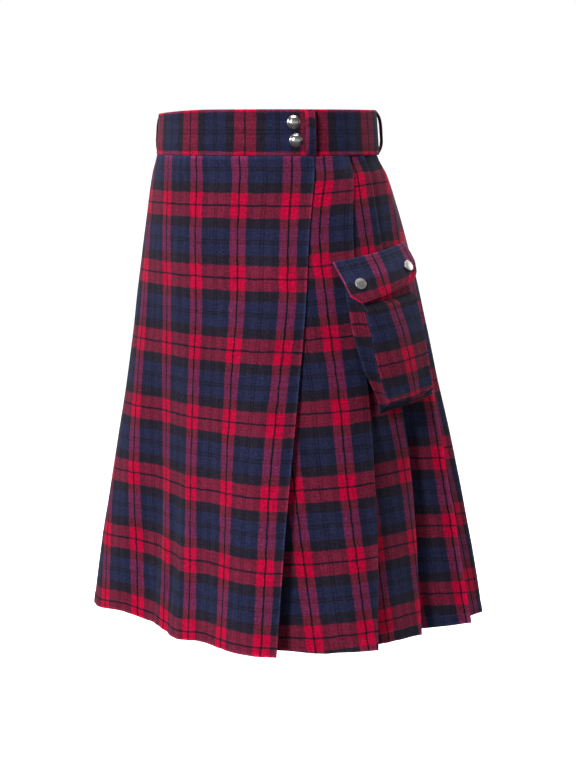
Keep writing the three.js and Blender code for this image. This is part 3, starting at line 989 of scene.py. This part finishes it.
def stitches(name, lines):
    """Short raised threads along lines of points with their outward directions, as one piece."""
    points, faces = [], []
    for line in lines:
        total = lengths_along([point for point, _ in line])[-1]
        for k in range(int(total / STITCH_PITCH)):
            a, out = along_line(line, k * STITCH_PITCH)
            b, _ = along_line(line, k * STITCH_PITCH + STITCH_LENGTH)
            side = (b - a).cross(out).normalized() * STITCH_RADIUS
            middle = (a + b) / 2
            rise = out * STITCH_RADIUS
            ring = [middle + side, middle + rise, middle - side, middle - rise]
            i = len(points)
            points += [a, b] + ring
            for j in range(4):
                p, q = i + 2 + j, i + 2 + (j + 1) % 4
                faces += [(i, p, q), (i + 1, q, p)]
    made = mesh_object(name, points, faces, thread)
    finish_piece(made, "check")
    return made


def surface_line(surface, places, wall):
    """A line on the outside of a cloth: points a thread above it with its outward directions."""
    line = []
    for u, v in places:
        out = outward_at(surface, u, v)
        line.append((surface(u, v) + out * (wall / 2 + STITCH_RADIUS / 2), out))
    return line


def row_line(rows, r, wall):
    """The same along one row of spots."""
    normals = surface_normals(rows[r - 1 : r + 2], False)[1]
    lift = wall / 2 + STITCH_RADIUS / 2
    return [(spot.point + out * lift, out) for spot, out in zip(rows[r], normals)]


def band_stitches():
    count = round((OVERLAP_END - BAND_START) / BAND_LINE_STEP)
    angles = [lerp(BAND_START, OVERLAP_END - BAND_LINE_STOP, t) for t in steps(count)]
    wall = BAND_WALL - 2 * STITCH_DENT
    heights = (BAND_STITCH, -BAND_STITCH)
    lines = [surface_line(on_band, [(a, z) for a in angles], wall) for z in heights]
    end = [(OVERLAP_END - BAND_END_INSET, lerp(20, -20, t)) for t in steps(12)]
    lines.append(surface_line(on_band, end, BAND_WALL))
    return stitches("waistband_stitches", lines)


def loop_stitches(loop, rows):
    """Two bars of thread across the strap at each end."""
    bars = (2, 3, LOOP_ROWS - 3, LOOP_ROWS - 2)
    lines = [row_line(rows, r, LOOP_WALL)[1:-1] for r in bars]
    return stitches(f"belt_loop_{loop.name}_stitches", lines)


def border_lines(top, foot, crossings, down_steps, across_steps):
    """Places along a cloth's two sides from its top to its foot, and across it."""
    sides = (STITCH_INSET, 1 - STITCH_INSET)
    lines = [[(u, lerp(top, foot, t)) for t in steps(down_steps)] for u in sides]
    return lines + [[(lerp(*sides, t), v) for t in steps(across_steps)] for v in crossings]


def flap_stitches():
    """A line inside the flap's free edges and two below the edge that is sewn to the kilt."""
    crossings = (*FLAP_SEWN_LINES, FLAP_LINE_FOOT)
    places = border_lines(FLAP_LINE_TOP, FLAP_LINE_FOOT, crossings, 16, 30)
    wall = FLAP_WALL + 2 * FLAP_CROWN
    return stitches("pocket_flap_stitches", [surface_line(on_flap, line, wall) for line in places])


def face_stitches():
    """A line beside each long edge of the pocket's face and one along its foot."""
    places = border_lines(FACE_LINE_TOP, FACE_LINE_FOOT, (FACE_LINE_FOOT,), 20, 24)
    lines = [surface_line(on_pocket_face, line, FACE_WALL) for line in places]
    return stitches("pocket_face_stitches", lines)


# ---------------- materials
# The sett: half a repeat from the middle of the red, as widths in millimetres. The weft's stripes
# have one colour where they cross the warp's red and one where they cross its navy, because the
# brushed nap mixes the threads; these are colours as they look. The warp's stripes say whether
# they are red and how light they are.
Stripe = namedtuple("Stripe", "width over_red over_navy")
WEFT_SETT = [
    Stripe(0.95, (0.34, 0.11, 0.2), (0.15, 0.115, 0.175)),
    Stripe(13.2, (0.755, 0.052, 0.238), (0.475, 0.15, 0.242)),
    Stripe(11.6, (0.43, 0.155, 0.225), (0.172, 0.155, 0.203)),
    Stripe(12.9, (0.445, 0.173, 0.304), (0.173, 0.185, 0.293)),
    Stripe(1.0, (0.38, 0.145, 0.23), (0.138, 0.143, 0.2)),
    Stripe(1.35, (0.435, 0.168, 0.28), (0.168, 0.174, 0.26)),
]
WarpStripe = namedtuple("WarpStripe", "width red light")
WARP_SETT = [
    WarpStripe(1.0, 0.08, 0.62),
    WarpStripe(9.05, 1.0, 1.0),
    WarpStripe(8.3, 0.0, 0.92),
    WarpStripe(9.45, 0.0, 1.0),
    WarpStripe(0.9, 0.0, 0.74),
    WarpStripe(1.55, 0.0, 0.97),
]
YARN_EDGE = 0.45
CLOTH_TONE = 0.8
SLUB_TONE = 0.16
NAP_TONE = 0.28
WORN_TONE = 0.09
# How much lighter pointed fold and hem edges are drawn: a painted highlight, with some rubbing of
# the cloth.
RUBBED_AND_HIGHLIGHT_TONE = 0.28
DISPLAY_GAMMA = 2.2
RIB_SCALE = 150.0
RIB_DEPTH = 0.25
THREAD_WINE = (0.035, 0.006, 0.014)
THREAD_SHADE = (0.012, 0.008, 0.014)

# How pointed a surface is where its painted highlight and rubbing start to lighten it, and where
# they have their full tone.
FOLD_POINTED = 0.52
EDGE_POINTED = 0.59

# Noises by their lumps a metre along each direction, for cloth along its weft and its warp. Two
# of them shift the stripes by up to a distance in metres.
Grain = namedtuple("Grain", "lumps detail")
WOBBLE = Grain((60, 60, 1), 2.0)
WOBBLE_SHIFT = 0.0012
FUZZ = Grain((700, 700, 1), 1.0)
FUZZ_SHIFT = 0.0009
SLUB = Grain((620, 55, 1), 2.0)
PICK = Grain((70, 700, 1), 2.0)
NAP = Grain((420, 420, 1), 3.0)
WORN = Grain((16, 16, 1), 3.0)
SCRATCHES = Grain((500, 500, 9000), 4.0)


class Nodes:
    """The nodes of a new material or world, each added and linked in one call."""

    def __init__(self, made):
        made.use_nodes = True
        made.node_tree.nodes.clear()
        self.made = made
        self.tree = made.node_tree

    def add(self, kind, values=None, **settings):
        """A node with its settings; each socket takes a constant, or a link from an output."""
        node = self.tree.nodes.new(kind)
        for key, value in settings.items():
            setattr(node, key, value)
        for socket, value in (values or {}).items():
            if hasattr(value, "is_output"):
                self.tree.links.new(value, node.inputs[socket])
            else:
                node.inputs[socket].default_value = value
        return node

    def math(self, operation, a, b=0.0, c=0.0):
        return self.add("ShaderNodeMath", {0: a, 1: b, 2: c}, operation=operation).outputs[0]

    def mix(self, factor, a, b, blend="MIX"):
        values = {0: factor, 6: a, 7: b}
        return self.add("ShaderNodeMix", values, data_type="RGBA", blend_type=blend).outputs[2]

    def noise(self, places, scale, detail):
        values = {0: places, "Scale": scale, "Detail": detail}
        return self.add("ShaderNodeTexNoise", values).outputs[0]

    def stretched_noise(self, places, grain):
        """Noise with so many lumps a metre along each direction."""
        mapped = self.add("ShaderNodeMapping", {0: places, 3: grain.lumps}).outputs[0]
        return self.noise(mapped, 1.0, grain.detail)

    def object_places(self):
        return self.add("ShaderNodeTexCoord").outputs["Object"]

    def bump(self, height, strength, distance):
        values = {"Strength": strength, "Distance": distance, "Height": height}
        return self.add("ShaderNodeBump", values).outputs[0]

    def surface(self, values):
        """The material, finished with its one shader."""
        shader = self.add("ShaderNodeBsdfPrincipled", values)
        self.add("ShaderNodeOutputMaterial", {0: shader.outputs[0]})
        return self.made


def new_material(name):
    return Nodes(bpy.data.materials.new(name))


def opaque(colour):
    return (*colour, 1.0)


def grey(tone):
    return opaque((tone,) * 3)


def sett_ramp(nodes, share, widths, colours):
    """Colours of the stripes from the middle of the red out to half a repeat."""
    node = nodes.add("ShaderNodeValToRGB", {0: share})
    ramp = node.color_ramp
    ramp.elements[0].color = opaque(colours[0])
    ramp.elements[1].position = 1.0
    ramp.elements[1].color = opaque(colours[-1])
    at = 0.0
    for width, colour, following in zip(widths, colours, colours[1:]):
        at += width
        ramp.elements.new((at - YARN_EDGE) / sum(widths)).color = opaque(colour)
        ramp.elements.new((at + YARN_EDGE) / sum(widths)).color = opaque(following)
    return node.outputs[0]


def half_repeat(nodes, place, repeat):
    """Place in the sett from 0 at the middle of the red to 1 half a repeat away."""
    folded = nodes.math("PINGPONG", place, repeat * MILLIMETRE / 2)
    return nodes.math("MULTIPLY", folded, 2 / (repeat * MILLIMETRE))


def crossed_threads(nodes, across, down):
    """Colour of the cloth where the warp's stripes cross the weft's."""
    weft = half_repeat(nodes, down, WEFT_REPEAT)
    widths = [stripe.width for stripe in WEFT_SETT]
    over_red = sett_ramp(nodes, weft, widths, [stripe.over_red for stripe in WEFT_SETT])
    over_navy = sett_ramp(nodes, weft, widths, [stripe.over_navy for stripe in WEFT_SETT])
    warp = half_repeat(nodes, across, WARP_REPEAT)
    widths = [stripe.width for stripe in WARP_SETT]
    marks = sett_ramp(nodes, warp, widths, [(s.red, s.light, 0) for s in WARP_SETT])
    split = nodes.add("ShaderNodeSeparateColor", {0: marks})
    crossed = nodes.mix(split.outputs[0], over_navy, over_red)
    return nodes.mix(1.0, crossed, split.outputs[1], blend="MULTIPLY")


def centred(nodes, value, amount):
    """A noise made to swing evenly about zero by an amount."""
    return nodes.math("MULTIPLY_ADD", value, 2 * amount, -amount)


def tartan_flannel():
    """Brushed tartan: two setts crossed, slubs along both threads, a twill rib, a soft nap, and a
    painted highlight with some rubbing on pointed edges.
    """
    nodes = new_material("tartan_flannel")
    places = nodes.add("ShaderNodeUVMap", uv_map="Cloth").outputs[0]
    split = nodes.add("ShaderNodeSeparateXYZ", {0: places})
    wobble = nodes.stretched_noise(places, WOBBLE)
    fuzz = nodes.stretched_noise(places, FUZZ)
    shifts = centred(nodes, wobble, WOBBLE_SHIFT), centred(nodes, fuzz, FUZZ_SHIFT)
    shift = nodes.math("ADD", *shifts)
    across = nodes.math("ADD", split.outputs[0], shift)
    down = nodes.math("ADD", split.outputs[1], shift)
    crossed = crossed_threads(nodes, across, down)
    slub = nodes.stretched_noise(places, SLUB)
    pick = nodes.stretched_noise(places, PICK)
    nap = nodes.stretched_noise(places, NAP)
    worn = nodes.stretched_noise(places, WORN)
    threads = nodes.math("ADD", centred(nodes, slub, SLUB_TONE), centred(nodes, pick, SLUB_TONE))
    mottled = nodes.math("ADD", centred(nodes, nap, NAP_TONE), centred(nodes, worn, WORN_TONE))
    tone = nodes.math("ADD", nodes.math("ADD", threads, mottled), CLOTH_TONE)
    # Pointed places such as fold edges and hem edges are drawn lighter: a painted highlight, with
    # some rubbing of the cloth.
    pointed = nodes.add("ShaderNodeNewGeometry").outputs["Pointiness"]
    lit_and_worn_edges = {0: pointed, 1: FOLD_POINTED, 2: EDGE_POINTED, 4: RUBBED_AND_HIGHLIGHT_TONE}
    rubbed_and_highlight = nodes.add("ShaderNodeMapRange", lit_and_worn_edges).outputs[0]
    toned = nodes.mix(1.0, crossed, nodes.math("ADD", tone, rubbed_and_highlight), blend="MULTIPLY")
    rib = nodes.add("ShaderNodeTexWave", {0: places, "Scale": RIB_SCALE, "Distortion": 0.8})
    rib.bands_direction = "DIAGONAL"
    fibres = nodes.math("ADD", nap, slub)
    height = nodes.math("MULTIPLY_ADD", rib.outputs[1], RIB_DEPTH, fibres)
    return nodes.surface(
        {
            "Base Color": nodes.add("ShaderNodeGamma", {0: toned, 1: DISPLAY_GAMMA}).outputs[0],
            "Roughness": nodes.math("MULTIPLY_ADD", nap, 0.12, 0.78),
            "Normal": nodes.bump(height, 0.45, 0.0009),
            "Specular IOR Level": 0.05,
            "Sheen Weight": 0.05,
            "Sheen Roughness": 0.4,
            "Sheen Tint": (0.7, 0.7, 0.9, 1),
        }
    )


def pressed_metal(name, tint, shine, scratch):
    """Nickel plate: a clean colour with faint clouding and fine scratches."""
    nodes = new_material(name)
    place = nodes.object_places()
    cloud = nodes.noise(place, 260.0, 3.0)
    line = nodes.stretched_noise(place, SCRATCHES)
    darker = tuple(0.8 * value for value in tint)
    return nodes.surface(
        {
            "Base Color": nodes.mix(cloud, opaque(tint), opaque(darker)),
            "Roughness": nodes.math("MULTIPLY_ADD", line, shine * 0.6, shine * 0.7),
            "Normal": nodes.bump(line, scratch, 0.0002),
            "Metallic": 1.0,
        }
    )


def sewing_thread():
    """Dark wine thread, twisted and a little glossy."""
    nodes = new_material("sewing_thread")
    twist = nodes.noise(nodes.object_places(), 1500.0, 1.0)
    return nodes.surface(
        {
            "Base Color": nodes.mix(twist, opaque(THREAD_WINE), opaque(THREAD_SHADE)),
            "Roughness": nodes.math("MULTIPLY_ADD", twist, 0.15, 0.5),
            "Normal": nodes.bump(twist, 0.3, 0.0002),
        }
    )


# ---------------- the kilt
flannel = tartan_flannel()
polished = pressed_metal("polished_nickel", (0.44, 0.43, 0.42), 0.24, 0.05)
brushed = pressed_metal("brushed_nickel", (0.33, 0.32, 0.31), 0.42, 0.5)
thread = sewing_thread()
panel_steps = panel_rows()
hem_row = panel_steps.index(HEM + HEM_TURN)


def make_panel(name, node, rows, width, area):
    """A hanging panel with its turned hem and the hem's stitches; the width and area it was cut to
    are not used.
    """
    cloth = cloth_shell(name, rows, hem_wall(panel_steps), flannel)
    finish_piece(cloth, "check", node)
    line = row_line(rows, hem_row, CLOTH_WALL + HEM_EXTRA)
    hem = stitches(f"{name}_hem_stitches", [line])


def make_small(node, ending, rows, wall):
    """A small folded piece of cloth."""
    cloth = cloth_shell(f"{node}_{ending}", rows, wall, flannel, level_ends=False)
    finish_piece(cloth, "check", node)


# Flat sizes are in metres and say what shows of each cut, for a panel at the hem and down.
rows = [apron_row(z) for z in panel_steps]
make_panel("apron_cloth", "front_apron", rows, width=0.368, area=0.186)
for side in SIDES:
    rows = [pleated_row(side, z) for z in panel_steps]
    make_panel(f"pleats_{side.name}_cloth", f"pleats_{side.name}", rows, side.width, side.area)

band = cloth_shell("waistband_cloth", band_spots(), band_wall, flannel, lining=band_lining)
finish_piece(band, "check", "waistband")
band_stitches()

for loop in LOOPS:
    node = f"belt_loop_{loop.name}"
    rows = loop_spots(loop)
    sewn = [loop_stitches(loop, rows)]
    make_small(node, "strap", rows, loop_wall)

sewn = [face_stitches()]
rows = spot_grid(face_spot, steps(FACE_COLUMNS), FACE_ROWS)
make_small("pocket_face", "cloth", rows, even(FACE_WALL))
rows = gusset_spots()
make_small("pocket_gusset", "cloth", rows, even(CLOTH_WALL))
sewn = [flap_stitches()]
rows = spot_grid(flap_spot, steps(FLAP_COLUMNS), steps(FLAP_STEPS))
make_small("pocket_flap", "cloth", rows, flap_wall)

for snap in WAIST_SNAPS:
    finish_piece(snap_cap(snap, DOMED, polished), "polished_snap", snap.name)
for snap in FLAP_SNAPS:
    finish_piece(snap_cap(snap, FLAT, brushed), "brushed_snap", snap.name)


# ---------------- floor, light and camera
# Lights and the camera are placed in metres. The camera is the photo's, in which the waist's
# middle lies some columns left of the picture's middle.
FLOOR_LEVEL = -1000.0
FLOOR_SIZE = 4e6
CAMERA_DISTANCE = 2.352
CAMERA_AZIMUTH = radians(45)
CAMERA_PITCH = 0.12765
CAMERA_LENS = 91.83
CAMERA_SENSOR = 36.0
PICTURE_HEIGHT = 768
WAIST_COLUMN_LEFT = 20
KILT_MIDDLE = -0.3
CEILING_POWER = 3.3
CEILING_SPREAD = radians(50)
WALL_LIGHT = 1.0
CEILING_LIGHT = 0.2
LOW_LIGHT = 0.18
LIGHT_DISTANCE = 3.2
HORIZON = 0.07
WALL_TOP = 0.2
WALL_FADE = 0.14


def floor():
    """A pale floor out to the horizon. It throws no light back on the kilt, so folds stay dark."""
    nodes = new_material("floor_paint")
    cloud = nodes.noise(nodes.object_places(), 0.8, 2.0)
    paint = nodes.surface({"Base Color": nodes.mix(cloud, grey(0.9), grey(0.93)), "Roughness": 0.9})
    half = FLOOR_SIZE / 2
    corners = [(-half, -half), (half, -half), (half, half), (-half, half)]
    points = [Vector((x, y, FLOOR_LEVEL)) for x, y in corners]
    piece = mesh_object("floor", points, [(0, 1, 2, 3)], paint)
    piece.visible_diffuse = False
    piece.visible_glossy = False


def turn_to(made, aim):
    """A light or a camera looks along its own -Z."""
    made.rotation_euler = aim.to_track_quat("-Z", "Y").to_euler()


def area_light(name, azimuth, height, size, power):
    """A round soft light, at an angle round the kilt and a height, turned to the kilt's middle."""
    lamp = bpy.data.lights.new(name, "AREA")
    lamp.shape = "DISK"
    lamp.size = size
    lamp.energy = power
    made = in_scene(name, lamp)
    made.location = polar(azimuth, LIGHT_DISTANCE, height)
    turn_to(made, Vector((0, 0, KILT_MIDDLE)) - made.location)


def ceiling_light():
    """Wide light from straight above, which whitens the floor and hardly touches the kilt."""
    lamp = bpy.data.lights.new("ceiling", "SUN")
    lamp.angle = CEILING_SPREAD
    lamp.energy = CEILING_POWER
    in_scene("ceiling", lamp)


def room():
    """White walls above the horizon, a dim ceiling, and dim light from below."""
    world = bpy.data.worlds.new("studio")
    nodes = Nodes(world)
    direction = nodes.add("ShaderNodeTexCoord").outputs["Generated"]
    height = nodes.add("ShaderNodeSeparateXYZ", {0: direction}).outputs[2]
    raised = nodes.math("ADD", height, HORIZON)
    ramp = nodes.add("ShaderNodeValToRGB", {0: raised})
    tones = ramp.color_ramp.elements
    tones[0].color = grey(LOW_LIGHT)
    tones[1].position = WALL_TOP + WALL_FADE
    tones[1].color = grey(CEILING_LIGHT)
    tones.new(HORIZON / 2).color = grey(WALL_LIGHT)
    tones.new(WALL_TOP).color = grey(WALL_LIGHT)
    sky = nodes.add("ShaderNodeBackground", {0: ramp.outputs[0]})
    nodes.add("ShaderNodeOutputWorld", {0: sky.outputs[0]})
    bpy.context.scene.world = world


def camera():
    lens = bpy.data.cameras.new("camera")
    lens.lens = CAMERA_LENS
    lens.sensor_fit = "VERTICAL"
    lens.sensor_height = CAMERA_SENSOR
    lens.clip_end = FLOOR_SIZE * MILLIMETRE
    made = in_scene("camera", lens)
    right = Vector((cos(CAMERA_AZIMUTH), sin(CAMERA_AZIMUTH), 0))
    inward = Vector((-sin(CAMERA_AZIMUTH), cos(CAMERA_AZIMUTH), 0))
    made.location = inward * -CAMERA_DISTANCE
    turn = atan(WAIST_COLUMN_LEFT * CAMERA_SENSOR / PICTURE_HEIGHT / CAMERA_LENS)
    level = inward * cos(turn) + right * sin(turn)
    turn_to(made, level * cos(CAMERA_PITCH) + Vector((0, 0, -sin(CAMERA_PITCH))))
    bpy.context.scene.camera = made


floor()
room()
camera()
ceiling_light()
area_light("key", azimuth=20, height=0.8, size=0.7, power=103)
area_light("front_right", azimuth=-48, height=0.8, size=0.9, power=54)
area_light("side_right", azimuth=-90, height=0.8, size=1.2, power=18)
area_light("back_left", azimuth=162, height=0.9, size=1.4, power=60)
area_light("back_right", azimuth=-145, height=0.9, size=1.4, power=50)
bpy.context.scene.view_settings.view_transform = "Standard"
